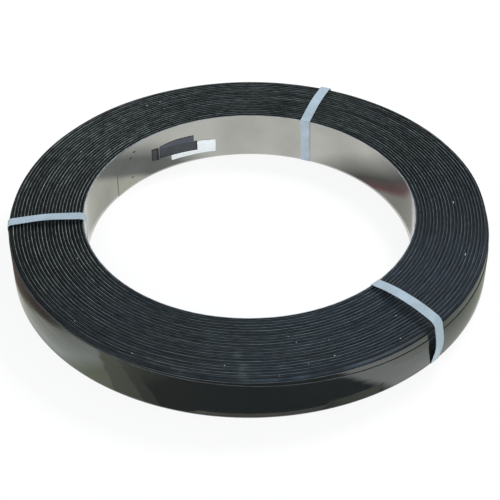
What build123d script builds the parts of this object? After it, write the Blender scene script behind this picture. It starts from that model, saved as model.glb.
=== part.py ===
from build123d import *
from math import cos, radians, sin, sqrt
import os

# A coil of black-painted steel strapping, wound flat on a 406 mm core, with a bright steel band in its
# bore, three steel ties round its section and two small stickers. It lies flat on the floor, on its ties.
# The origin is under its middle, +Z points up and +X is to the right of a viewer who looks along +Y.

# Driving dimensions, in mm and degrees. Places round the coil are counted anticlockwise from +X.
core_radius = 203.0
band_thickness = 0.8
band_clearance = 0.1
strap_width = 63.0
turn_pitch = 4.17
turn_count = 21
groove_width = 1.5
groove_depth = 1.0

# The last two wraps have slipped down. Each one's top is a slanting plane with its own low side.
slipped_thickness = 1.1
slipped_drops = [7.3, 15.6]
slipped_tilts = [5.8, 10.6]
slipped_low_sides = [-40.0, 5.0]
slipped_gap_width = 0.53
slipped_gap_depth = 14.0

# Each tie has its place round the coil, the height that it arches over the top, how far it stands off at
# the shoulder and bows out below it, and the bend over its shoulder.
tie_width = 13.0
tie_thickness = 0.5
tie_clearance = 0.05
back_tie_angle = 68.5
back_tie_arch = 3.0
back_tie_stand_off = 1.0
back_tie_bow = 1.0
back_tie_shoulder = 6.0
left_tie_angle = 186.0
left_tie_arch = 3.5
left_tie_stand_off = 0.4
left_tie_bow = 0.4
left_tie_shoulder = 5.0
front_tie_angle = 314.5
front_tie_arch = 9.5
front_tie_stand_off = 1.5
front_tie_bow = 7.2
front_tie_shoulder = 9.0
tie_lip_radius = 1.0
tie_fold_radius = 0.1
tie_arch_radius = 170.0
tie_bow_radius = 60.0

# The band's lapped end.
lap_edge_angle = 148.5
lap_taper_span = 18.0

# The stickers, as spans round the bore and heights over the coil's underside.
label_thickness = 0.2
label_clearance = 0.3
patch_start_angle = 111.0
patch_end_angle = 130.2
patch_low = 18.3
patch_high = 41.8
paper_start_angle = 103.3
paper_end_angle = 121.4
paper_low = 10.3
paper_high = 30.0

# Worked out from the driving dimensions.
band_outer_radius = core_radius + band_thickness
wound_radius = band_outer_radius + band_clearance
gap_inner_radius = wound_radius + turn_count * turn_pitch
slipped_inner_radius = gap_inner_radius + slipped_gap_width
outer_radius = slipped_inner_radius + len(slipped_drops) * slipped_thickness
coil_bottom = tie_thickness
coil_top = coil_bottom + strap_width
label_back_radius = core_radius - label_clearance
label_front_radius = label_back_radius - label_thickness


def at_angle(radius, angle):
    """The point at a radius and an angle round the coil's axis."""
    return (radius * cos(radians(angle)), radius * sin(radians(angle)))


def slipping_plane(drop, tilt, low_side):
    """The slanting plane of a slipped wrap's top edge. It leans down towards the low side."""
    slope = tilt / outer_radius
    direction = at_angle(slope, low_side)
    return Plane(origin=(0, 0, coil_top - drop), z_dir=(direction[0], direction[1], 1))


# The coil. The outermost wrap is made and cut first, and each wrap inside it is cut by a higher plane.
with BuildPart() as strap_coil:
    wraps = list(zip(slipped_drops, slipped_tilts, slipped_low_sides))
    for index, (drop, tilt, low_side) in reversed(list(enumerate(wraps))):
        wrap_radius = slipped_inner_radius + index * slipped_thickness
        with BuildSketch(Plane.XZ):
            with Locations((wrap_radius, coil_bottom)):
                Rectangle(slipped_thickness, strap_width, align=(Align.MIN, Align.MIN))
        revolve(axis=Axis.Z)
        split(bisect_by=slipping_plane(drop, tilt, low_side), keep=Keep.BOTTOM)

    # The flat-wound pack, with a groove between each turn and the next on both ends.
    with BuildSketch(Plane.XZ):
        with Locations((wound_radius, coil_bottom)):
            Rectangle(slipped_inner_radius - wound_radius, strap_width, align=(Align.MIN, Align.MIN))
        for turn in range(1, turn_count):
            groove_radius = wound_radius + turn * turn_pitch
            for end, inwards in ((coil_bottom, 1), (coil_top, -1)):
                with BuildLine():
                    Polyline(
                        (groove_radius - groove_width / 2, end),
                        (groove_radius, end + inwards * groove_depth),
                        (groove_radius + groove_width / 2, end),
                        close=True,
                    )
                make_face(mode=Mode.SUBTRACT)
        with Locations((gap_inner_radius, coil_top)):
            Rectangle(
                slipped_gap_width, slipped_gap_depth, align=(Align.MIN, Align.MAX), mode=Mode.SUBTRACT
            )
    revolve(axis=Axis.Z)


# The bright band in the bore. Its lapped end stands one thickness proud and tapers away behind the lap.
with BuildPart() as core_band:
    with BuildSketch(Plane.XY.offset(coil_bottom)):
        Circle(band_outer_radius)
        Circle(core_radius, mode=Mode.SUBTRACT)
        with BuildLine():
            lap_end = lap_edge_angle - lap_taper_span
            lap_middle = lap_edge_angle - lap_taper_span / 2
            lap_radius = core_radius - band_thickness
            Line(at_angle(band_outer_radius, lap_edge_angle), at_angle(lap_radius, lap_edge_angle))
            Spline(
                at_angle(lap_radius, lap_edge_angle),
                at_angle((lap_radius + core_radius) / 2, lap_middle),
                at_angle(core_radius, lap_end),
            )
            Line(at_angle(core_radius, lap_end), at_angle(band_outer_radius, lap_end))
            ThreePointArc(
                at_angle(band_outer_radius, lap_end),
                at_angle(band_outer_radius, lap_middle),
                at_angle(band_outer_radius, lap_edge_angle),
            )
        make_face()
    extrude(amount=strap_width)


def make_tie(angle, arch, stand_off, bow, shoulder_radius):
    """One tie: a closed flat loop round the coil's section, in the upright plane at an angle."""
    inner_wall = sqrt(core_radius**2 - (tie_width / 2) ** 2) - tie_clearance - tie_thickness
    outer_wall = outer_radius + tie_clearance + tie_thickness
    shoulder = outer_wall + stand_off
    tie_top = coil_top + tie_lip_radius + tie_thickness
    tie_plane = Plane(
        origin=(0, 0, 0),
        x_dir=(*at_angle(1, angle), 0),
        z_dir=(*at_angle(1, angle - 90), 0),
    )
    with BuildPart() as tie:
        with BuildSketch(tie_plane):
            with BuildLine():
                FilletPolyline(
                    (inner_wall, 0),
                    (inner_wall, tie_top),
                    ((inner_wall + shoulder) / 2, tie_top + arch),
                    (shoulder, tie_top),
                    (outer_wall + bow, coil_bottom + strap_width / 2),
                    (outer_wall, 0),
                    radius=[
                        tie_fold_radius + tie_thickness,
                        tie_lip_radius + tie_thickness,
                        tie_arch_radius,
                        shoulder_radius,
                        tie_bow_radius,
                        tie_fold_radius + tie_thickness,
                    ],
                    close=True,
                )
            make_face()
            offset(amount=-tie_thickness, mode=Mode.SUBTRACT)
        extrude(amount=tie_width / 2, both=True)
    return tie


def make_sticker(outline_spans):
    """A sticker on the band: flat sheets bent to the bore, each a span and a pair of heights."""
    with BuildPart() as sticker:
        for start_angle, end_angle, low, high in outline_spans:
            middle = (start_angle + end_angle) / 2
            with BuildSketch(Plane.XY.offset(coil_bottom + low)):
                with BuildLine():
                    Line(at_angle(label_front_radius, start_angle), at_angle(label_back_radius, start_angle))
                    ThreePointArc(
                        at_angle(label_back_radius, start_angle),
                        at_angle(label_back_radius, middle),
                        at_angle(label_back_radius, end_angle),
                    )
                    Line(at_angle(label_back_radius, end_angle), at_angle(label_front_radius, end_angle))
                    ThreePointArc(
                        at_angle(label_front_radius, end_angle),
                        at_angle(label_front_radius, middle),
                        at_angle(label_front_radius, start_angle),
                    )
                make_face()
            extrude(amount=high - low)
    return sticker


# The white paper shows beside the dark patch and under its lower edge.
label_patch = make_sticker([(patch_start_angle, patch_end_angle, patch_low, patch_high)])
label_paper = make_sticker(
    [
        (paper_start_angle, patch_start_angle, paper_low, paper_high),
        (patch_start_angle, paper_end_angle, paper_low, patch_low),
    ]
)

nodes = {
    "strap_coil": strap_coil,
    "core_band": core_band,
    "tie_back": make_tie(
        back_tie_angle, back_tie_arch, back_tie_stand_off, back_tie_bow, back_tie_shoulder
    ),
    "tie_left": make_tie(
        left_tie_angle, left_tie_arch, left_tie_stand_off, left_tie_bow, left_tie_shoulder
    ),
    "tie_front": make_tie(
        front_tie_angle, front_tie_arch, front_tie_stand_off, front_tie_bow, front_tie_shoulder
    ),
    "label_patch": label_patch,
    "label_paper": label_paper,
}

os.makedirs("parts", exist_ok=True)
for node_name, piece in nodes.items():
    piece.part.label = node_name
    export_step(piece.part, f"parts/{node_name}.step")
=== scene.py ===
from math import atan2, cos, degrees, hypot, pi, radians, sin, sqrt, tan

import bmesh
import bpy
from mathutils import Matrix, Vector, noise


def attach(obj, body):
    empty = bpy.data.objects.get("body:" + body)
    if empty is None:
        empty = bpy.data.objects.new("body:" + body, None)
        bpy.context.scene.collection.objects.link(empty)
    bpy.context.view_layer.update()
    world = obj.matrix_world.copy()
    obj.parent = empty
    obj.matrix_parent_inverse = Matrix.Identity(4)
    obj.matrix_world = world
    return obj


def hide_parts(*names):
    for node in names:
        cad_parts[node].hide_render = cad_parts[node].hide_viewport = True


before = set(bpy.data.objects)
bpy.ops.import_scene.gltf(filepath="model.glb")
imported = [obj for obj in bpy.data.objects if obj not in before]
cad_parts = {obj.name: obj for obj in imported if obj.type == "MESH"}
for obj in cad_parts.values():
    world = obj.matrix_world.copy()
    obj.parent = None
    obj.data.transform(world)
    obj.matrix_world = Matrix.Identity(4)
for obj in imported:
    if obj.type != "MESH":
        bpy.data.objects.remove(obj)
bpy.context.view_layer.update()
scene = bpy.context.scene

# The camera stands where the photograph was taken from, 39 degrees above the coil and in front of it.
camera = bpy.data.objects.new("camera", bpy.data.cameras.new("camera"))
scene.collection.objects.link(camera)
camera.data.sensor_width = 36.0
camera.data.lens = 91.45
camera.location = (0.0004, -1.2436, 1.0125)
camera.rotation_mode = "ZYX"
camera.rotation_euler = (pi / 2 - 0.68587, 0, -0.004479)
scene.camera = camera


# The wound pack: one long steel strap, painted black and waxed, wound flat on itself round the core.
# Its ends show the strap's edges. One edge in three stands a little higher; its paint is worn, and it is
# painted lighter as a highlight, while the lower edges are painted darker as shade in the recesses.
coil_bottom = 0.0005
coil_top = 0.0635
wound_radius = 0.2039
turn_pitch = 0.00417
turn_count = 21
edges_per_turn = 3
pack_radius = wound_radius + turn_count * turn_pitch
slipped_radius = pack_radius + 0.00053
slip_gap_depth = 0.014
# Per edge of a turn: how far it stands down, how much painted sheen it has (less on the lower edges, as
# painted shade in the recesses), and how much wear with painted highlight.
edge_drops = (0.0, 0.0008, 0.0013)
edge_sheen_levels = (0.95, 0.65, 0.25)
edge_wear_and_highlight_levels = (1.0, 0.05, 0.05)
edge_gap_depth = 0.0004
edge_crown = 0.0001
edge_unevenness = 0.0004
top_relief = 0.004
wander_height = 0.00022
wander_radius = 0.0004
front_dip = 0.0052
rim_droop = 0.0086
rim_level = 0.0015
rim_cuts = 5
# The pack's outer face above the slipped wraps has a little wear with painted highlight, and painted sheen.
rim_wear_and_highlight = 0.12
rim_sheen = 0.9
underside_groove = 0.0008
ring_steps = 240
tolerance = 0.0001


def finish_piece(name, mesh_source, material, cad_nodes=(), sharp=50):
    """Turns a bmesh into a piece of the coil that rides on its one body and stands for its CAD nodes."""
    bmesh.ops.recalc_face_normals(mesh_source, faces=mesh_source.faces[:])
    if mesh_source.calc_volume(signed=True) < 0:
        bmesh.ops.reverse_faces(mesh_source, faces=mesh_source.faces[:])
    for face in mesh_source.faces:
        face.smooth = True
    for edge in mesh_source.edges:
        if len(edge.link_faces) == 2 and edge.calc_face_angle(0) > radians(sharp):
            edge.smooth = False
    mesh = bpy.data.meshes.new(name)
    mesh_source.to_mesh(mesh)
    mesh_source.free()
    mesh.materials.append(material)
    piece = bpy.data.objects.new(name, mesh)
    scene.collection.objects.link(piece)
    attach(piece, "root")
    if cad_nodes:
        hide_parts(*cad_nodes)
    return piece


def new_material(name, roughness, metallic=0.0):
    """An empty material with its Principled shader, ready for its nodes."""
    material = bpy.data.materials.new(name)
    material.use_nodes = True
    shader = material.node_tree.nodes["Principled BSDF"]
    shader.inputs["Roughness"].default_value = roughness
    shader.inputs["Metallic"].default_value = metallic
    return material, material.node_tree.nodes, material.node_tree.links, shader


def make_group(name, inputs, outputs):
    """An empty shader node group with named sockets, each a name, a kind and a starting value."""
    group = bpy.data.node_groups.new(name, "ShaderNodeTree")
    for socket_name, kind, value in inputs:
        socket = group.interface.new_socket(socket_name, in_out="INPUT", socket_type="NodeSocket" + kind)
        socket.default_value = value
    for socket_name, kind in outputs:
        group.interface.new_socket(socket_name, in_out="OUTPUT", socket_type="NodeSocket" + kind)
    given = group.nodes.new("NodeGroupInput")
    result = group.nodes.new("NodeGroupOutput")
    return group, group.nodes, group.links, given, result


def place_group(nodes, group, **values):
    """Places a group in a material with its own values."""
    placed = nodes.new("ShaderNodeGroup")
    placed.node_tree = group
    for socket_name, value in values.items():
        placed.inputs[socket_name].default_value = value
    return placed


def multiply(nodes, links, first, second):
    """The product of two outputs."""
    product = nodes.new("ShaderNodeMath")
    product.operation = "MULTIPLY"
    links.new(first, product.inputs[0])
    links.new(second, product.inputs[1])
    return product.outputs[0]


def between(nodes, links, share, low, high):
    """A value that a share from 0 to 1 takes from low to high."""
    mapped = nodes.new("ShaderNodeMapRange")
    mapped.inputs["To Min"].default_value = low
    mapped.inputs["To Max"].default_value = high
    links.new(share, mapped.inputs["Value"])
    return mapped.outputs[0]


def draw_profile(mesh_source, points):
    """Draws a closed outline through points, each a radius and a height. Gives its corners and sides."""
    corners = [mesh_source.verts.new((radius, 0, height)) for radius, height in points]
    following = corners[1:] + corners[:1]
    sides = [mesh_source.edges.new(pair) for pair in zip(corners, following)]
    return corners, sides


def spin_ring(profile):
    """Turns a profile in the plane of X and Z into a full ring."""
    bmesh.ops.spin(
        profile,
        geom=profile.verts[:] + profile.edges[:],
        cent=(0, 0, 0),
        axis=(0, 0, 1),
        dvec=(0, 0, 0),
        angle=2 * pi,
        steps=ring_steps,
        use_merge=True,
        use_duplicate=False,
    )


# Mottle: two tones of one colour in soft cloudy patches.
mottle, nodes, links, given, result = make_group(
    "mottle",
    (
        ("Scale", "Float", 20.0),
        ("Stretch", "Vector", (1, 1, 1)),
        ("Low", "Float", 0.35),
        ("High", "Float", 0.65),
        ("Dark", "Color", (0, 0, 0, 1)),
        ("Light", "Color", (1, 1, 1, 1)),
    ),
    (("Colour", "Color"), ("Share", "Float")),
)
place = nodes.new("ShaderNodeTexCoord")
stretched = nodes.new("ShaderNodeVectorMath")
stretched.operation = "MULTIPLY"
links.new(place.outputs["Object"], stretched.inputs[0])
links.new(given.outputs["Stretch"], stretched.inputs[1])
clouds = nodes.new("ShaderNodeTexNoise")
clouds.inputs["Detail"].default_value = 4.0
links.new(stretched.outputs[0], clouds.inputs["Vector"])
links.new(given.outputs["Scale"], clouds.inputs["Scale"])
patches = nodes.new("ShaderNodeMapRange")
links.new(clouds.outputs["Fac"], patches.inputs["Value"])
links.new(given.outputs["Low"], patches.inputs["From Min"])
links.new(given.outputs["High"], patches.inputs["From Max"])
blend = nodes.new("ShaderNodeMix")
blend.data_type = "RGBA"
links.new(patches.outputs[0], blend.inputs["Factor"])
links.new(given.outputs["Dark"], blend.inputs["A"])
links.new(given.outputs["Light"], blend.inputs["B"])
links.new(blend.outputs["Result"], result.inputs["Colour"])
links.new(patches.outputs[0], result.inputs["Share"])

# Ring noise: patches drawn out along the turns. Along and Across count them round the coil and per metre
# of its radius.
ring_noise, nodes, links, given, result = make_group(
    "ring_noise",
    (("Along", "Float", 2.0), ("Across", "Float", 720.0), ("Low", "Float", 0.3), ("High", "Float", 0.7)),
    (("Share", "Float"),),
)
place = nodes.new("ShaderNodeTexCoord")
flat_place = nodes.new("ShaderNodeVectorMath")
flat_place.operation = "MULTIPLY"
flat_place.inputs[1].default_value = (1, 1, 0)
links.new(place.outputs["Object"], flat_place.inputs[0])
reach = nodes.new("ShaderNodeVectorMath")
reach.operation = "LENGTH"
links.new(flat_place.outputs[0], reach.inputs[0])
heading = nodes.new("ShaderNodeVectorMath")
heading.operation = "NORMALIZE"
links.new(flat_place.outputs[0], heading.inputs[0])
heading_scaled = nodes.new("ShaderNodeVectorMath")
heading_scaled.operation = "SCALE"
links.new(heading.outputs[0], heading_scaled.inputs[0])
links.new(given.outputs["Along"], heading_scaled.inputs["Scale"])
reach_scaled = multiply(nodes, links, reach.outputs["Value"], given.outputs["Across"])
turn_place = nodes.new("ShaderNodeSeparateXYZ")
links.new(heading_scaled.outputs[0], turn_place.inputs[0])
turn_vector = nodes.new("ShaderNodeCombineXYZ")
links.new(turn_place.outputs["X"], turn_vector.inputs["X"])
links.new(turn_place.outputs["Y"], turn_vector.inputs["Y"])
links.new(reach_scaled, turn_vector.inputs["Z"])
clouds = nodes.new("ShaderNodeTexNoise")
clouds.inputs["Scale"].default_value = 1.0
clouds.inputs["Detail"].default_value = 3.0
links.new(turn_vector.outputs[0], clouds.inputs["Vector"])
patches = nodes.new("ShaderNodeMapRange")
links.new(clouds.outputs["Fac"], patches.inputs["Value"])
links.new(given.outputs["Low"], patches.inputs["From Min"])
links.new(given.outputs["High"], patches.inputs["From Max"])
links.new(patches.outputs[0], result.inputs["Share"])

# Edge wear and light: the paint's colour on the strap's edges, from the mesh's own attribute of wear and
# painted highlight. Each turn has its own tone, which changes slowly round the coil, fine scuffs break the
# wear up, and a few chips are bare.
# Towards the left the edges are painted lighter and the paint between them darker, as painted highlight and
# painted shade. At the front right a bluish-grey painted sheen lies on the edges that stand up, again from
# an attribute of the mesh.
edge_wear_and_light, nodes, links, given, result = make_group(
    "edge_wear_and_light",
    (
        ("Paint", "Color", (0, 0, 0, 1)),
        ("Rubbed", "Color", (0, 0, 0, 1)),
        ("Haze", "Color", (0, 0, 0, 1)),
        ("Worn", "Color", (1, 1, 1, 1)),
        ("Bare", "Color", (1, 1, 1, 1)),
    ),
    (("Colour", "Color"), ("Wear_and_highlight", "Float")),
)
place = nodes.new("ShaderNodeTexCoord")
flat_place = nodes.new("ShaderNodeVectorMath")
flat_place.operation = "MULTIPLY"
flat_place.inputs[1].default_value = (1, 1, 0)
links.new(place.outputs["Object"], flat_place.inputs[0])
heading = nodes.new("ShaderNodeVectorMath")
heading.operation = "NORMALIZE"
links.new(flat_place.outputs[0], heading.inputs[0])
# Towards the left the edges are painted lighter and the paint between them darker: painted highlight and
# painted shade.
left_facing = nodes.new("ShaderNodeVectorMath")
left_facing.operation = "DOT_PRODUCT"
left_facing.inputs[1].default_value = (-0.978, 0.208, 0)
links.new(heading.outputs[0], left_facing.inputs[0])
left_light_range = nodes.new("ShaderNodeMapRange")
left_light_range.interpolation_type = "SMOOTHSTEP"
left_light_range.inputs["From Min"].default_value = 0.4
left_light_range.inputs["From Max"].default_value = 0.92
links.new(left_facing.outputs["Value"], left_light_range.inputs["Value"])
left_highlight_gain = between(nodes, links, left_light_range.outputs[0], 0.9, 1.4)
left_shaded_paint = nodes.new("ShaderNodeMix")
left_shaded_paint.data_type = "RGBA"
links.new(left_light_range.outputs[0], left_shaded_paint.inputs["Factor"])
links.new(given.outputs["Paint"], left_shaded_paint.inputs["A"])
links.new(given.outputs["Rubbed"], left_shaded_paint.inputs["B"])
# A bluish painted sheen on the standing edges at the front right, broken into patches.
sheen_facing = nodes.new("ShaderNodeVectorMath")
sheen_facing.operation = "DOT_PRODUCT"
sheen_facing.inputs[1].default_value = (0.45, -0.89, 0)
links.new(heading.outputs[0], sheen_facing.inputs[0])
sheen_range = nodes.new("ShaderNodeMapRange")
sheen_range.interpolation_type = "SMOOTHSTEP"
sheen_range.inputs["From Min"].default_value = -0.15
sheen_range.inputs["From Max"].default_value = 1.0
links.new(sheen_facing.outputs["Value"], sheen_range.inputs["Value"])
sheen_patches = place_group(nodes, ring_noise, Along=11.0, Across=900.0, Low=0.34, High=0.66)
sheen_gain = between(nodes, links, sheen_patches.outputs["Share"], 0.35, 1.65)
sheen_spread = multiply(nodes, links, sheen_range.outputs[0], sheen_gain)
sheen_attribute = nodes.new("ShaderNodeAttribute")
sheen_attribute.attribute_name = "edge_sheen"
sheen_share = multiply(nodes, links, sheen_spread, sheen_attribute.outputs["Fac"])
sheen_colour = nodes.new("ShaderNodeMix")
sheen_colour.data_type = "RGBA"
sheen_colour.clamp_factor = False
links.new(sheen_share, sheen_colour.inputs["Factor"])
links.new(left_shaded_paint.outputs["Result"], sheen_colour.inputs["A"])
links.new(given.outputs["Haze"], sheen_colour.inputs["B"])
turn_tone = place_group(nodes, ring_noise, Along=2.2, Across=720.0)
tone_gain = between(nodes, links, turn_tone.outputs["Share"], 0.3, 1.15)
scuffs = place_group(nodes, ring_noise, Along=24.0, Across=720.0, Low=0.34, High=0.64)
scuff_gain = between(nodes, links, scuffs.outputs["Share"], 0.35, 1.25)
wear_and_highlight = nodes.new("ShaderNodeAttribute")
wear_and_highlight.attribute_name = "edge_wear_and_highlight"
toned_wear_and_highlight = multiply(nodes, links, wear_and_highlight.outputs["Fac"], tone_gain)
left_lit_wear_and_highlight = multiply(nodes, links, toned_wear_and_highlight, left_highlight_gain)
broken_wear_and_highlight = multiply(nodes, links, left_lit_wear_and_highlight, scuff_gain)
paint_colour = nodes.new("ShaderNodeMix")
paint_colour.data_type = "RGBA"
paint_colour.clamp_factor = False
links.new(broken_wear_and_highlight, paint_colour.inputs["Factor"])
links.new(sheen_colour.outputs["Result"], paint_colour.inputs["A"])
links.new(given.outputs["Worn"], paint_colour.inputs["B"])
chips = nodes.new("ShaderNodeTexVoronoi")
chips.inputs["Scale"].default_value = 95.0
links.new(place.outputs["Object"], chips.inputs["Vector"])
chip_size = nodes.new("ShaderNodeMath")
chip_size.operation = "LESS_THAN"
chip_size.inputs[1].default_value = 0.08
links.new(chips.outputs["Distance"], chip_size.inputs[0])
chip_pick = nodes.new("ShaderNodeSeparateColor")
links.new(chips.outputs["Color"], chip_pick.inputs[0])
chip_few = nodes.new("ShaderNodeMath")
chip_few.operation = "GREATER_THAN"
chip_few.inputs[1].default_value = 0.9
links.new(chip_pick.outputs["Red"], chip_few.inputs[0])
chip_mask = multiply(nodes, links, chip_size.outputs[0], chip_few.outputs[0])
chip_on_edge = multiply(nodes, links, chip_mask, wear_and_highlight.outputs["Fac"])
chipped_colour = nodes.new("ShaderNodeMix")
chipped_colour.data_type = "RGBA"
links.new(chip_on_edge, chipped_colour.inputs["Factor"])
links.new(paint_colour.outputs["Result"], chipped_colour.inputs["A"])
links.new(given.outputs["Bare"], chipped_colour.inputs["B"])
links.new(chipped_colour.outputs["Result"], result.inputs["Colour"])
links.new(wear_and_highlight.outputs["Fac"], result.inputs["Wear_and_highlight"])

# The ends of the pack: strap edges with thin satin paint, worn to grey on the edges that stand up and
# painted lighter there as a highlight.
# A bluish painted sheen lies over them, and towards the left the paint is painted darker as shade.
edge_paint, nodes, links, shader = new_material("edge_paint", 0.45)
shader.inputs["Specular IOR Level"].default_value = 0.25
worn_and_lit = place_group(
    nodes,
    edge_wear_and_light,
    Paint=(0.0030, 0.0042, 0.0044, 1),
    Rubbed=(0.0016, 0.0014, 0.0011, 1),
    Worn=(0.155, 0.185, 0.185, 1),
    Bare=(0.6, 0.62, 0.6, 1),
)
# The bluish tint of the painted sheen, in soft patches.
sheen_tint = place_group(
    nodes,
    mottle,
    Scale=9.0,
    Dark=(0.017, 0.025, 0.029, 1),
    Light=(0.026, 0.037, 0.054, 1),
)
links.new(sheen_tint.outputs["Colour"], worn_and_lit.inputs["Haze"])
links.new(worn_and_lit.outputs["Colour"], shader.inputs["Base Color"])
links.new(between(nodes, links, worn_and_lit.outputs["Wear_and_highlight"], 0.35, 0.5), shader.inputs["Roughness"])

pack = bmesh.new()
pack_profile = (
    (wound_radius, coil_bottom),
    (slipped_radius, coil_bottom),
    (slipped_radius, coil_top - slip_gap_depth),
    (pack_radius, coil_top - slip_gap_depth),
    (pack_radius, coil_top),
    (wound_radius, coil_top),
)
_, sides = draw_profile(pack, pack_profile)
bmesh.ops.subdivide_edges(pack, edges=[sides[0]], cuts=2 * turn_count - 1)
bmesh.ops.subdivide_edges(pack, edges=[sides[3]], cuts=rim_cuts)
bmesh.ops.subdivide_edges(pack, edges=[sides[4]], cuts=4 * edges_per_turn * turn_count - 1)
# Attributes of the mesh: wear with painted highlight on the edges, and painted sheen.
wear_and_highlight_layer = pack.verts.layers.float.new("edge_wear_and_highlight")
sheen_layer = pack.verts.layers.float.new("edge_sheen")
edge_width = turn_pitch / edges_per_turn
edge_heights = []
edge_gaps = []
for number in range(edges_per_turn * turn_count):
    drop = edge_drops[number % edges_per_turn]
    edge_heights.append(drop + edge_unevenness * noise.noise(Vector((number * 0.73, 4.1, 0))))
    edge_gaps.append(edge_gap_depth * (1.2 + 1.2 * noise.noise(Vector((number * 0.61, 9.3, 0)))))
for vert in pack.verts:
    across = (vert.co.x - wound_radius) / edge_width
    number = min(int(across + 0.01), edges_per_turn * turn_count - 1)
    part = round((across - number) * 4)
    if vert.co.z > coil_top - tolerance:
        if part == 0:
            nearer = max(edge_heights[max(number - 1, 0)], edge_heights[number])
            vert.co.z -= nearer + edge_gaps[number]
        else:
            vert.co.z -= edge_heights[number] + (0 if part == 2 else edge_crown)
            vert[wear_and_highlight_layer] = edge_wear_and_highlight_levels[number % edges_per_turn] * (1.0 if part == 2 else 0.6)
            vert[sheen_layer] = edge_sheen_levels[number % edges_per_turn] if part < 4 else 0.1
    elif vert.co.z > coil_top - slip_gap_depth - tolerance:
        vert[wear_and_highlight_layer] = rim_wear_and_highlight
        vert[sheen_layer] = rim_sheen
    elif vert.co.z < coil_bottom + tolerance and round(across * 2 / edges_per_turn) % 2 == 1:
        vert.co.z += underside_groove
spin_ring(pack)

# The turns wander: no real edge stays at one height or one radius all the way round. At the right they
# have been pressed more nearly level, and there the painted highlight is weaker and the painted sheen more
# even. At the front left the standing edges are less light from wear and painted highlight, a second edge
# of each turn shows too, and the painted sheen is weaker.
for vert in pack.verts:
    radius = hypot(vert.co.x, vert.co.y)
    number = int((radius - wound_radius) / edge_width + 0.01)
    if vert.co.z > coil_top - top_relief and wound_radius + 0.0005 < radius < pack_radius - 0.0005:
        round_x, round_y = vert.co.x / radius, vert.co.y / radius
        pressed = max(0, cos(atan2(round_y, round_x) + radians(26))) ** 6
        vert.co.z += 0.5 * pressed * (coil_top - 0.0004 - vert.co.z)
        front_left = max(0, cos(atan2(round_y, round_x) + radians(108))) ** 3
        if vert[wear_and_highlight_layer] > 0.1:
            vert[wear_and_highlight_layer] *= 1 - 0.35 * front_left
        elif vert[wear_and_highlight_layer] > 0 and number % edges_per_turn == 1:
            vert[wear_and_highlight_layer] += 0.22 * front_left
        vert[sheen_layer] *= 1 - 0.2 * front_left
        vert[wear_and_highlight_layer] *= 1 - 0.45 * pressed
        vert[sheen_layer] += 0.6 * pressed * (0.55 - vert[sheen_layer])
        vert.co.z += wander_height * noise.noise(Vector((radius * 730, round_x * 3, round_y * 3)))
        shift = wander_radius * noise.noise(Vector((radius * 90, round_x * 5, round_y * 5)))
        vert.co.x += shift * round_x
        vert.co.y += shift * round_y

# Two faint scrapes cross the turns at the very front.
for angle, nearest, farthest, extra in ((-91.5, 0.268, 0.293, 0.3), (-93.0, 0.249, 0.262, 0.2)):
    for vert in pack.verts:
        radius = hypot(vert.co.x, vert.co.y)
        on_scrape = abs(degrees(atan2(vert.co.y, vert.co.x)) - angle) < 0.5
        if on_scrape and nearest < radius < farthest and vert[sheen_layer] > 0:
            vert[wear_and_highlight_layer] += extra


def top_sag(radius, angle):
    """How far the top has sunk at a place. It dips a few millimetres at the front, and right of the front
    tie the outermost turns droop."""
    across = (radius - wound_radius) / (pack_radius - wound_radius)
    dip = front_dip * max(0, cos(radians(angle + 80))) * (0.25 + 0.75 * across)
    starts = min(max((angle + 51) / 9, 0), 1)
    ends = min(max((angle + 18) / 35, 0), 1)
    droop = rim_droop * starts**2 * (3 - 2 * starts) * (1 - ends**2 * (3 - 2 * ends))
    return dip + droop * min(across, 1) ** 5


for vert in pack.verts:
    radius = hypot(vert.co.x, vert.co.y)
    on_rim = radius > pack_radius - 0.0002
    if vert.co.z > coil_top - top_relief or on_rim and vert.co.z > coil_top - slip_gap_depth:
        share = (vert.co.z - coil_top + slip_gap_depth) / (slip_gap_depth - rim_level) if on_rim else 1
        vert.co.z -= min(share, 1) * top_sag(radius, degrees(atan2(vert.co.y, vert.co.x)))
finish_piece("coil_turns", pack, edge_paint, ("strap_coil",))

# A few nicks in the paint, down to bright steel, each a thin flake on the edges at a place and a radius.
nick_steel, nodes, links, shader = new_material("nick_steel", 0.4, 0.6)
glint = place_group(nodes, mottle, Scale=600.0, Dark=(0.50, 0.56, 0.60, 1), Light=(0.80, 0.86, 0.90, 1))
links.new(glint.outputs["Colour"], shader.inputs["Base Color"])
flake_radius = 0.0005
nicks = bmesh.new()
for angle, radius, length in (
    (-19.2, 0.2694, 0.0024),
    (1.9, 0.2523, 0.0022),
    (-54.7, 0.2843, 0.0007),
    (-50.4, 0.2550, 0.0008),
    (-69.9, 0.2500, 0.0007),
    (-78.1, 0.2440, 0.0007),
    (-70.6, 0.2738, 0.0008),
    (-95.7, 0.2740, 0.0007),
    (-133.7, 0.2812, 0.0008),
    (-154.3, 0.2238, 0.0010),
    (151.3, 0.2500, 0.0014),
    (121.4, 0.2690, 0.0013),
    (117.1, 0.2690, 0.0009),
):
    flake = bmesh.ops.create_uvsphere(nicks, u_segments=10, v_segments=6, radius=flake_radius)["verts"]
    bmesh.ops.scale(nicks, verts=flake, vec=(1, length / flake_radius, 0.4))
    bmesh.ops.translate(nicks, verts=flake, vec=(radius, 0, coil_top - top_sag(radius, angle) - 0.0002))
    turn = Matrix.Rotation(radians(angle), 3, "Z")
    bmesh.ops.rotate(nicks, verts=flake, cent=(0, 0, 0), matrix=turn)
finish_piece("edge_nicks", nicks, nick_steel)


# The last two wraps of the same strap have slipped down round the pack. The top of each is a slanting
# plane with its own low side. The outermost wrap's waxed face is the coil's wall.
wrap_thickness = 0.0011
wrap_drops = (0.0073, 0.0156)
wrap_tilts = (0.0058, 0.0106)
wrap_low_sides = (-40.0, 5.0)
wrap_rounding = 0.00032
wrap_ripple = 0.0004
outer_radius = slipped_radius + 2 * wrap_thickness


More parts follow.
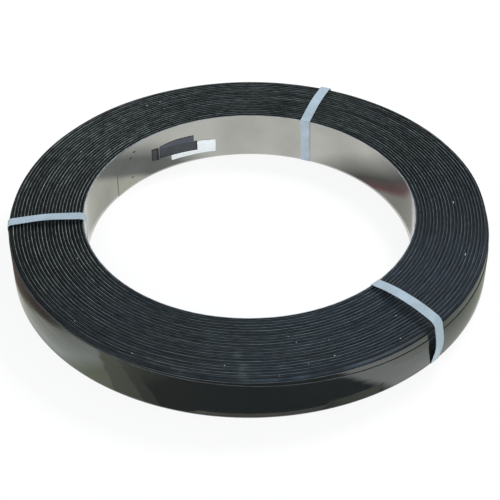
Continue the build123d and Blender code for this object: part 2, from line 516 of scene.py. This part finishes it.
def raise_surface(nodes, links, shader, height, strength, distance):
    """Makes a shader's surface uneven by an output."""
    bump = nodes.new("ShaderNodeBump")
    bump.inputs["Strength"].default_value = strength
    bump.inputs["Distance"].default_value = distance
    links.new(height, bump.inputs["Height"])
    links.new(bump.outputs[0], shader.inputs["Normal"])


# The strap's faces: smooth black paint under a coat of wax, a little wavy. The wraps' top edges are worn
# and painted lighter as a highlight.
face_paint, nodes, links, shader = new_material("face_paint", 0.12)
shader.inputs["IOR"].default_value = 2.0
worn_and_lit = place_group(
    nodes,
    edge_wear_and_light,
    Paint=(0.005, 0.006, 0.006, 1),
    Rubbed=(0.005, 0.006, 0.006, 1),
    Haze=(0.006, 0.007, 0.008, 1),
    Worn=(0.110, 0.130, 0.145, 1),
    Bare=(0.5, 0.52, 0.5, 1),
)
links.new(worn_and_lit.outputs["Colour"], shader.inputs["Base Color"])
links.new(between(nodes, links, worn_and_lit.outputs["Wear_and_highlight"], 0.12, 0.42), shader.inputs["Roughness"])
waves = place_group(nodes, mottle, Scale=1.0, Stretch=(6, 6, 40), Low=0.2, High=0.8)
raise_surface(nodes, links, shader, waves.outputs["Share"], strength=0.22, distance=0.003)

wraps = bmesh.new()
wraps.verts.layers.float.new("edge_wear_and_highlight")
for number, (drop, tilt, low_side) in enumerate(zip(wrap_drops, wrap_tilts, wrap_low_sides)):
    near = slipped_radius + number * wrap_thickness
    far = near + wrap_thickness
    wrap = bmesh.new()
    wear_and_highlight_layer = wrap.verts.layers.float.new("edge_wear_and_highlight")
    wrap_profile = ((near, coil_bottom), (far, coil_bottom), (far, coil_top), (near, coil_top))
    corners, _ = draw_profile(wrap, wrap_profile)
    bmesh.ops.bevel(
        wrap,
        geom=corners[2:],
        affect="VERTICES",
        offset=wrap_rounding,
        segments=3,
        profile=0.5,
        material=-1,
    )
    # The top edge of each wrap is worn and painted lighter as a highlight.
    for vert in wrap.verts:
        vert[wear_and_highlight_layer] = 0.8 if vert.co.z > coil_top - 0.0002 else 0.0
    spin_ring(wrap)
    for vert in wrap.verts:
        if vert.co.z > coil_top - 0.01:
            turned = atan2(vert.co.y, vert.co.x) - radians(low_side)
            ripple = wrap_ripple * noise.noise(Vector((vert.co.x * 14, vert.co.y * 14, number * 7)))
            vert.co.z -= drop + tilt * cos(turned) + ripple
            # The painted highlight on the wraps' top edges is strongest at the front right and fades
            # towards the left.
            vert[wear_and_highlight_layer] *= 0.15 + 0.85 * max(0, cos(atan2(vert.co.y, vert.co.x) + radians(75)))
    loose = bpy.data.meshes.new("wrap")
    wrap.to_mesh(loose)
    wrap.free()
    wraps.from_mesh(loose)
    bpy.data.meshes.remove(loose)
finish_piece("slipped_wraps", wraps, face_paint)


# The core band: a bright cold-rolled sheet that lines the bore. Its lapped end stands one thickness proud
# at the left and runs down behind the lap, where three spot welds hold it.
core_radius = 0.2030
band_thickness = 0.0008
band_give = 0.00025
lap_edge = 148.5
lap_span = 18.0
lap_inset = 0.0001
weld_radius = 0.001

bright_sheet, nodes, links, shader = new_material("bright_sheet", 0.2, 1.0)
smudges = place_group(nodes, mottle, Scale=14.0, Dark=(0.42, 0.42, 0.40, 1), Light=(0.50, 0.50, 0.475, 1))
links.new(smudges.outputs["Colour"], shader.inputs["Base Color"])
rolling = place_group(nodes, mottle, Scale=1.0, Stretch=(9, 9, 900), Low=0.3, High=0.7)
links.new(between(nodes, links, rolling.outputs["Share"], 0.10, 0.17), shader.inputs["Roughness"])
raise_surface(nodes, links, shader, rolling.outputs["Share"], strength=0.05, distance=0.0001)

band = bmesh.new()
band_back = core_radius + band_thickness
band_profile = (
    (core_radius, coil_bottom),
    (band_back, coil_bottom),
    (band_back, coil_top),
    (core_radius, coil_top),
)
_, sides = draw_profile(band, band_profile)
bmesh.ops.subdivide_edges(band, edges=[sides[3]], cuts=6)
spin_ring(band)

# The sheet is not quite round: it springs in and out by a fraction of a millimetre.
for vert in band.verts:
    radius = hypot(vert.co.x, vert.co.y)
    if coil_bottom + 0.001 < vert.co.z < coil_top - 0.001:
        give = band_give * noise.noise(Vector((vert.co.x * 16, vert.co.y * 16, vert.co.z * 22)))
        vert.co.x *= 1 + give / radius
        vert.co.y *= 1 + give / radius
band_sheet = finish_piece("band_sheet", band, bright_sheet, ("core_band",))

# Its sheared edges are brighter than its faces.
cut_edge, nodes, links, shader = new_material("cut_edge", 0.4, 0.3)
burr = place_group(nodes, mottle, Scale=90.0, Dark=(0.22, 0.24, 0.26, 1), Light=(0.52, 0.55, 0.60, 1))
links.new(burr.outputs["Colour"], shader.inputs["Base Color"])
band_sheet.data.materials.append(cut_edge)
for face in band_sheet.data.polygons:
    if abs(face.normal.z) > 0.7:
        face.material_index = 1

lap = bmesh.new()
lap_inside = core_radius - band_thickness
lap_back = core_radius - 0.00005
lap_low = coil_bottom + lap_inset
lap_high = coil_top - lap_inset
lap_profile = ((lap_inside, lap_low), (lap_back, lap_low), (lap_back, lap_high), (lap_inside, lap_high))
lap_face = lap.faces.new([lap.verts.new((radius, 0, height)) for radius, height in lap_profile])
lap_turn = Matrix.Rotation(radians(lap_edge), 3, "Z")
bmesh.ops.rotate(lap, verts=lap.verts[:], cent=(0, 0, 0), matrix=lap_turn)
bmesh.ops.spin(
    lap,
    geom=lap.verts[:] + lap.edges[:] + [lap_face],
    cent=(0, 0, 0),
    axis=(0, 0, 1),
    dvec=(0, 0, 0),
    angle=-radians(lap_span),
    steps=36,
    use_merge=False,
    use_duplicate=False,
)
bmesh.ops.holes_fill(lap, edges=[edge for edge in lap.edges if edge.is_boundary], sides=0)
for vert in lap.verts:
    radius = hypot(vert.co.x, vert.co.y)
    behind = (radians(lap_edge) - atan2(vert.co.y, vert.co.x)) / radians(lap_span)
    outwards = 1.05 * band_thickness * (3 * behind**2 - 2 * behind**3)
    vert.co.x *= 1 + outwards / radius
    vert.co.y *= 1 + outwards / radius
finish_piece("band_lap", lap, bright_sheet)

# The spot welds are low nuggets, scorched round their edges.
weld_scale, nodes, links, shader = new_material("weld_scale", 0.4, 0.8)
scorch = place_group(nodes, mottle, Scale=500.0, Dark=(0.03, 0.03, 0.032, 1), Light=(0.22, 0.21, 0.2, 1))
links.new(scorch.outputs["Colour"], shader.inputs["Base Color"])
welds = bmesh.new()
for angle, height in ((138.5, 0.0522), (140.5, 0.0456), (140.2, 0.0141)):
    turn = Matrix.Rotation(radians(angle), 3, "Z")
    nugget = bmesh.ops.create_uvsphere(welds, u_segments=16, v_segments=8, radius=weld_radius)["verts"]
    bmesh.ops.scale(welds, verts=nugget, vec=(0.3, 2.6, 0.8))
    bmesh.ops.translate(welds, verts=nugget, vec=(lap_inside + 0.0002, 0, coil_bottom + height))
    bmesh.ops.rotate(welds, verts=nugget, cent=(0, 0, 0), matrix=turn)
finish_piece("spot_welds", welds, weld_scale)


# Three ties of narrow zinc-coated strap hold the coil. Each is a closed loop round its section, pulled
# square at the core, arched over the turns and rounded over the outer shoulder.
tie_width = 0.013
tie_thickness = 0.0005
tie_clearance = 0.00005
lip_radius = 0.001
fold_radius = 0.0001
arch_radius = 0.170
bow_radius = 0.060

zinc, nodes, links, shader = new_material("zinc_tie", 0.45, 0.35)
spangle = place_group(nodes, mottle, Scale=38.0, Dark=(0.38, 0.47, 0.52, 1), Light=(0.48, 0.585, 0.68, 1))
links.new(spangle.outputs["Colour"], shader.inputs["Base Color"])
raise_surface(nodes, links, shader, spangle.outputs["Share"], strength=0.1, distance=0.0003)


def wrap_tie(
    name, cad_node, angle, arch, stand_off, bow, shoulder_radius, lip, lip_off, rise, shifts, sway, twist
):
    """Bends one tie round the coil's section at an angle. Its four corners shift sideways, from the inner
    foot over the lip and the shoulder to the outer foot, and its top run sways and twists a little."""
    inner_wall = sqrt(core_radius**2 - (tie_width / 2) ** 2) - tie_clearance - tie_thickness
    outer_wall = outer_radius + tie_clearance + tie_thickness
    shoulder = outer_wall + stand_off
    tie_top = coil_top + lip_radius + tie_thickness
    bends = (
        (inner_wall, 0, fold_radius + tie_thickness, 3),
        (inner_wall - lip_off, tie_top + rise, lip + tie_thickness, 8),
        ((inner_wall + shoulder) / 2, tie_top + arch, arch_radius, 16),
        (shoulder, tie_top, shoulder_radius, 10),
        (outer_wall + bow, coil_bottom + 0.0315, bow_radius, 10),
        (outer_wall, 0, fold_radius + tie_thickness, 3),
    )
    tie = bmesh.new()
    corners = [tie.verts.new((bend[0], -tie_width / 2, bend[1])) for bend in bends]
    places = [corner.co.copy() for corner in corners]
    for i in range(len(corners)):
        tie.edges.new((corners[i], corners[(i + 1) % len(corners)]))
    for i, (_, _, radius, segments) in enumerate(bends):
        turn = (places[i] - places[i - 1]).angle(places[(i + 1) % len(places)] - places[i])
        bmesh.ops.bevel(
            tie,
            geom=[corners[i]],
            affect="VERTICES",
            offset=radius * tan(turn / 2),
            segments=segments,
            profile=0.5,
            material=-1,
        )
    spread = bmesh.ops.extrude_edge_only(tie, edges=tie.edges[:])["geom"]
    moved = [part for part in spread if isinstance(part, bmesh.types.BMVert)]
    bmesh.ops.translate(tie, verts=moved, vec=(0, tie_width, 0))
    bmesh.ops.recalc_face_normals(tie, faces=tie.faces[:])
    bmesh.ops.solidify(tie, geom=tie.faces[:], thickness=tie_thickness)
    inner_foot, inner_lip, outer_shoulder, outer_foot = shifts
    for vert in tie.verts:
        along = min(max((vert.co.x - inner_wall) / (shoulder - inner_wall), 0), 1)
        up = min(max(vert.co.z / tie_top, 0), 1)
        low_shift = inner_foot + (outer_foot - inner_foot) * along
        high_shift = inner_lip + (outer_shoulder - inner_lip) * along
        if vert.co.z > coil_top:
            vert.co.z += twist * vert.co.y * sin(pi * along)
            high_shift += sway * sin(pi * along)
        vert.co.y += low_shift + (high_shift - low_shift) * up
    turn = Matrix.Rotation(radians(angle), 3, "Z")
    bmesh.ops.rotate(tie, verts=tie.verts[:], cent=(0, 0, 0), matrix=turn)
    return finish_piece(name, tie, zinc, (cad_node,), sharp=60)


wrap_tie(
    "back_tie", "tie_back", 68.5, arch=0.0030, stand_off=0.0010, bow=0.0010, shoulder_radius=0.006,
    lip=lip_radius, lip_off=0.0006, rise=0, shifts=(-0.0033, -0.0012, 0, 0), sway=0.0007, twist=0,
)
wrap_tie(
    "left_tie", "tie_left", 186.0, arch=0.0048, stand_off=0.0004, bow=0.0004, shoulder_radius=0.005,
    lip=0.008, lip_off=0.0030, rise=0.0022, shifts=(0, 0, 0, 0), sway=0, twist=0.06,
)
wrap_tie(
    "front_tie", "tie_front", 314.5, arch=0.0090, stand_off=0.0015, bow=0.0072, shoulder_radius=0.009,
    lip=lip_radius, lip_off=0, rise=-0.0003, shifts=(0.0010, 0.0010, 0, 0.0042), sway=0, twist=0,
)


# Two plain stickers are glued inside the bore: a white paper one, and over it a dark film one in two
# pieces. The film's violet backing stands up behind it, and its cut edges are black. They bear no print.
paper_radius = core_radius - 0.0003
back_radius = core_radius - 0.0004
film_radius = core_radius - 0.0005
line_radius = core_radius - 0.0006
sheet_thickness = 0.0001
line_thickness = 0.00005


def bend_sticker(name, points, radius, thickness, material, cad_nodes=()):
    """Cuts a flat sheet from points of angle and height, and bends it to the bore."""
    sheet = bmesh.new()
    sheet.faces.new([sheet.verts.new((angle, height, 0)) for angle, height in points])
    low = min(angle for angle, height in points)
    high = max(angle for angle, height in points)
    for cut in range(int(low) + 1, int(high) + 1):
        everything = sheet.verts[:] + sheet.edges[:] + sheet.faces[:]
        bmesh.ops.bisect_plane(sheet, geom=everything, plane_co=(cut, 0, 0), plane_no=(1, 0, 0))
    back = bmesh.ops.extrude_face_region(sheet, geom=sheet.faces[:])["geom"]
    for part in back:
        if isinstance(part, bmesh.types.BMVert):
            part.co.z = thickness
    for vert in sheet.verts:
        angle, height, lift = radians(vert.co.x), vert.co.y, vert.co.z
        reach = radius - lift
        vert.co = (reach * cos(angle), reach * sin(angle), coil_bottom + height / 1000)
    return finish_piece(name, sheet, material, cad_nodes)


def sheet_paint(name, roughness, scale, dark, light):
    """A plain paper or film in two close tones."""
    material, nodes, links, shader = new_material(name, roughness)
    tones = place_group(nodes, mottle, Scale=scale, Dark=(*dark, 1), Light=(*light, 1))
    links.new(tones.outputs["Colour"], shader.inputs["Base Color"])
    return material


white_paper = sheet_paint("white_paper", 0.6, 700.0, (0.90, 0.96, 0.97), (0.94, 0.98, 0.99))
slate_film = sheet_paint("slate_film", 0.35, 60.0, (0.036, 0.041, 0.045), (0.058, 0.066, 0.070))
violet_film = sheet_paint("violet_film", 0.4, 50.0, (0.058, 0.066, 0.088), (0.080, 0.088, 0.115))
black_line = sheet_paint("black_line", 0.4, 80.0, (0.008, 0.008, 0.009), (0.016, 0.016, 0.018))

paper_outline = ((103.2, 10.2), (121.4, 11.5), (121.4, 20.0), (110.3, 31.1), (103.2, 28.8))
bend_sticker(
    "paper_sticker", paper_outline, paper_radius, sheet_thickness, white_paper,
    ("label_paper",),
)
arch_outline = ((111.8, 30.0), (126.3, 33.0), (126.3, 39.3), (122.8, 41.0), (119.1, 41.8), (111.8, 41.3))
bend_sticker("film_back", arch_outline, back_radius, sheet_thickness, violet_film)
patch_outline = ((110.5, 17.1), (126.4, 21.0), (126.4, 35.8), (110.5, 31.2))
bend_sticker(
    "film_front", patch_outline, film_radius, sheet_thickness, slate_film,
    ("label_patch",),
)
end_outline = ((127.0, 20.3), (130.0, 22.4), (130.0, 40.4), (127.0, 38.8))
bend_sticker("film_end", end_outline, film_radius, sheet_thickness, slate_film)
seam_outline = ((126.95, 20.2), (127.9, 20.7), (127.9, 39.1), (126.95, 38.7))
bend_sticker("film_seam", seam_outline, line_radius, line_thickness, black_line)
edge_outline = ((110.5, 17.1), (110.9, 17.2), (110.9, 31.3), (110.5, 31.2))
bend_sticker("film_edge", edge_outline, line_radius, line_thickness, black_line)


# The floor is plain and white, and keeps the coil's soft shadow.
floor_radius = 14.0
floor_glow = 0.85
floor_mesh = bmesh.new()
bmesh.ops.create_circle(floor_mesh, cap_ends=True, segments=96, radius=floor_radius)
mesh = bpy.data.meshes.new("floor")
floor_mesh.to_mesh(mesh)
floor_mesh.free()
floor = bpy.data.objects.new("floor", mesh)
scene.collection.objects.link(floor)
floor_paint, nodes, links, shader = new_material("floor_paint", 0.9)
shader.inputs["Base Color"].default_value = (0.9, 0.9, 0.9, 1)
shader.inputs["Specular IOR Level"].default_value = 0.0
rays = nodes.new("ShaderNodeLightPath")
seen = nodes.new("ShaderNodeMath")
seen.operation = "ADD"
seen.use_clamp = True
links.new(rays.outputs["Is Camera Ray"], seen.inputs[0])
links.new(rays.outputs["Is Glossy Ray"], seen.inputs[1])
seen_through = nodes.new("ShaderNodeMath")
seen_through.operation = "ADD"
seen_through.use_clamp = True
links.new(seen.outputs[0], seen_through.inputs[0])
links.new(rays.outputs["Is Transmission Ray"], seen_through.inputs[1])
share = nodes.new("ShaderNodeMath")
share.operation = "MULTIPLY"
share.inputs[1].default_value = floor_glow
links.new(seen_through.outputs[0], share.inputs[0])
white = nodes.new("ShaderNodeEmission")
white.inputs["Color"].default_value = (1, 1, 1, 1)
white.inputs["Strength"].default_value = 1.0
mixed = nodes.new("ShaderNodeMixShader")
links.new(share.outputs[0], mixed.inputs["Fac"])
links.new(shader.outputs[0], mixed.inputs[1])
links.new(white.outputs[0], mixed.inputs[2])
links.new(mixed.outputs[0], nodes["Material Output"].inputs["Surface"])
mesh.materials.append(floor_paint)


# Seven cards lie on the floor, where only reflections see them. Round the coil they are dark in the middle
# and pale at both sides, which gives the glossy outer face its dark core. In the bore they are striped, so
# the bright band mirrors a light middle, two dark stretches and a faint red one.
wall_foot = 0.2955
card_rim = 0.56
ramp_reach = 300


def lay_card(name, inner, outer, start, lean, span, height, stops):
    """A flat card, part of a ring, whose glow changes from left to right at places given in mm."""
    card = bmesh.new()
    ends = ((inner, start), (outer, start + lean))
    rim = [card.verts.new((radius * cos(angle), radius * sin(angle), height)) for radius, angle in ends]
    card.edges.new(rim)
    bmesh.ops.spin(
        card,
        geom=card.verts[:] + card.edges[:],
        cent=(0, 0, 0),
        axis=(0, 0, 1),
        dvec=(0, 0, 0),
        angle=span,
        steps=96,
        use_merge=span > 6,
        use_duplicate=False,
    )
    mesh = bpy.data.meshes.new(name)
    card.to_mesh(mesh)
    card.free()
    sheet = bpy.data.objects.new(name, mesh)
    scene.collection.objects.link(sheet)
    sheet.visible_camera = False
    sheet.visible_diffuse = False
    sheet.visible_shadow = False
    sheet.visible_transmission = False
    card_paint, nodes, links, shader = new_material(name, 0.9)
    place = nodes.new("ShaderNodeTexCoord")
    place_split = nodes.new("ShaderNodeSeparateXYZ")
    links.new(place.outputs["Object"], place_split.inputs[0])
    across = nodes.new("ShaderNodeMapRange")
    across.inputs["From Min"].default_value = -ramp_reach / 1000
    across.inputs["From Max"].default_value = ramp_reach / 1000
    links.new(place_split.outputs["X"], across.inputs["Value"])
    tones = nodes.new("ShaderNodeValToRGB")
    for number, (place_mm, colour) in enumerate(stops):
        position = (place_mm + ramp_reach) / (2 * ramp_reach)
        if number < 2:
            stop = tones.color_ramp.elements[number]
            stop.position = position
        else:
            stop = tones.color_ramp.elements.new(position)
        stop.color = (*colour, 1)
    links.new(across.outputs[0], tones.inputs["Fac"])
    glow = nodes.new("ShaderNodeEmission")
    links.new(tones.outputs["Color"], glow.inputs["Color"])
    links.new(glow.outputs[0], nodes["Material Output"].inputs["Surface"])
    mesh.materials.append(card_paint)


lay_card(
    "outer_card", wall_foot, 0.55, 0, 0, 2 * pi, 0.0004,
    (
        (-300, (0.18, 0.14, 0.12)),
        (-292, (0.26, 0.25, 0.19)),
        (-282, (0.74, 0.77, 0.68)),
        (-225, (1.10, 1.18, 1.12)),
        (-192, (0.64, 0.71, 0.54)),
        (-115, (0.58, 0.60, 0.49)),
        (-95, (0.14, 0.15, 0.14)),
        (148, (0.09, 0.11, 0.11)),
        (164, (1.00, 1.05, 1.03)),
        (205, (0.98, 1.04, 1.00)),
        (285, (0.50, 0.54, 0.45)),
    ),
)
lay_card(
    "first_step_card", wall_foot, card_rim, radians(-121), radians(-25.5), radians(14), 0.00045,
    (
        (-220, (0.50, 0.54, 0.42)),
        (-130, (0.38, 0.41, 0.32)),
    ),
)
lay_card(
    "second_step_card", wall_foot, card_rim, radians(-113.5), radians(-25.5), radians(8), 0.0005,
    (
        (-220, (0.36, 0.38, 0.31)),
        (-120, (0.22, 0.24, 0.20)),
    ),
)
lay_card(
    "dark_card", wall_foot, card_rim, radians(-109.5), radians(-25.5), radians(40), 0.0006,
    (
        (-200, (0.34, 0.36, 0.30)),
        (-128, (0.12, 0.13, 0.12)),
        (0, (0.09, 0.11, 0.11)),
    ),
)
lay_card(
    "foot_card", wall_foot, 0.306, radians(-75), radians(3), radians(14), 0.0008,
    (
        (75, (0.10, 0.12, 0.11)),
        (105, (0.28, 0.31, 0.26)),
        (145, (0.32, 0.35, 0.29)),
    ),
)
lay_card(
    "toe_card", wall_foot, 0.3005, radians(-104), radians(3), radians(29), 0.0009,
    (
        (-72, (0.10, 0.12, 0.11)),
        (-58, (0.50, 0.51, 0.45)),
        (-20, (0.34, 0.35, 0.31)),
        (25, (0.42, 0.43, 0.38)),
        (70, (0.32, 0.34, 0.30)),
    ),
)
lay_card(
    "bore_card", 0.002, 0.2005, 0, 0, 2 * pi, 0.0004,
    (
        (-138, (0.66, 0.67, 0.61)),
        (-127, (0.27, 0.28, 0.28)),
        (-92, (0.25, 0.27, 0.27)),
        (-50, (0.86, 0.86, 0.84)),
        (80, (0.88, 0.88, 0.86)),
        (106, (0.50, 0.50, 0.49)),
        (138, (0.14, 0.14, 0.14)),
        (149, (0.17, 0.13, 0.13)),
        (158, (0.22, 0.12, 0.13)),
        (168, (0.38, 0.38, 0.36)),
    ),
)

# Soft studio light: a pale room that is dimmer overhead behind the coil, and two large soft lamps. The
# lamps are kept out of reflections, as a diffusing tent would keep them.
scene.view_settings.view_transform = "Standard"
room = bpy.data.worlds.new("room")
scene.world = room
room.use_nodes = True
nodes = room.node_tree.nodes
links = room.node_tree.links
background = nodes["Background"]
sky_place = nodes.new("ShaderNodeTexCoord")
sky_split = nodes.new("ShaderNodeSeparateXYZ")
links.new(sky_place.outputs["Generated"], sky_split.inputs[0])
sky = nodes.new("ShaderNodeValToRGB")
sky.color_ramp.elements[0].position = 0.0
sky.color_ramp.elements[0].color = (0.95, 0.95, 0.95, 1)
sky.color_ramp.elements[1].position = 1.0
sky.color_ramp.elements[1].color = (0.85, 0.9, 1.0, 1)
for height, colour in (
    (0.30, (0.8, 0.8, 0.8, 1)),
    (0.56, (0.17, 0.18, 0.19, 1)),
    (0.72, (0.55, 0.62, 0.70, 1)),
):
    stop = sky.color_ramp.elements.new(height)
    stop.color = colour
links.new(sky_split.outputs["Z"], sky.inputs["Fac"])
links.new(sky.outputs["Color"], background.inputs["Color"])
background.inputs["Strength"].default_value = 0.75

for name, size, energy, location in (
    ("key_lamp", 0.6, 38.0, (0.9, 1.3, 1.7)),
    ("front_lamp", 1.6, 52.0, (-0.4, -2.4, 2.2)),
):
    lamp = bpy.data.objects.new(name, bpy.data.lights.new(name, "AREA"))
    scene.collection.objects.link(lamp)
    lamp.data.shape = "SQUARE"
    lamp.data.size = size
    lamp.data.energy = energy
    lamp.location = location
    lamp.rotation_mode = "QUATERNION"
    lamp.rotation_quaternion = Vector(location).to_track_quat("Z", "Y")
    lamp.visible_glossy = False
